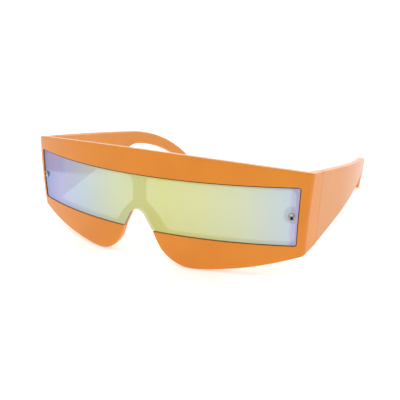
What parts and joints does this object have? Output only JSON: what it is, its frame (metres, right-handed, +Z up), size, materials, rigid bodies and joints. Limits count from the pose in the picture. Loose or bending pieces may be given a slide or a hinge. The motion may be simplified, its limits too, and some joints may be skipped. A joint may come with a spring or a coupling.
{
  "type": "shield sunglasses",
  "caption": "Wrap shield sunglasses: a moulded front holds a mirrored lens across both eyes, with a nose notch and deep temples that fold in on barrel hinges.",
  "frame": {"origin": "bottom centre of the open sunglasses as they stand on the lobes and the temple tips", "axes": "+X to the wearer's left across the front, +Y from the front towards the temple tips, +Z up"},
  "size_m": [0.1566, 0.1354, 0.0524],
  "materials": {
    "frame_plastic": "satin pearl orange moulded plastic",
    "temple_plastic": "satin pearl orange moulded plastic",
    "mirror_lens": "polished polycarbonate with a rainbow mirror coating",
    "screw_steel": "bright nickel-plated steel",
    "hinge_metal": "tumbled nickel silver"
  },
  "bodies": {
    "front": {"front_frame": "frame_plastic", "shield_lens": "mirror_lens", "left_lens_washer": "screw_steel", "left_lens_screw": "screw_steel", "left_front_hinge_leaf": "hinge_metal", "left_hinge_screw": "screw_steel", "left_front_leaf_screw_lower": "screw_steel", "left_front_leaf_screw_upper": "screw_steel", "right_lens_washer": "screw_steel", "right_lens_screw": "screw_steel", "right_front_hinge_leaf": "hinge_metal", "right_hinge_screw": "screw_steel", "right_front_leaf_screw_lower": "screw_steel", "right_front_leaf_screw_upper": "screw_steel"},
    "left_temple": {"left_temple": "temple_plastic", "left_temple_hinge_leaf": "hinge_metal", "left_temple_leaf_screw_lower": "screw_steel", "left_temple_leaf_screw_upper": "screw_steel"},
    "right_temple": {"right_temple": "temple_plastic", "right_temple_hinge_leaf": "hinge_metal", "right_temple_leaf_screw_lower": "screw_steel", "right_temple_leaf_screw_upper": "screw_steel"}
  },
  "joints": [
    {"name": "left_temple_fold", "type": "hinge", "parent": "front", "child": "left_temple", "pos_m": [0.07119, -0.03871, 0.02747], "axis": [0, 0.0972, 0.9953], "range_deg": [0, 90]},
    {"name": "right_temple_fold", "type": "hinge", "parent": "front", "child": "right_temple", "pos_m": [-0.07119, -0.03871, 0.02747], "axis": [0, -0.0972, -0.9953], "range_deg": [0, 80]}
  ]
}
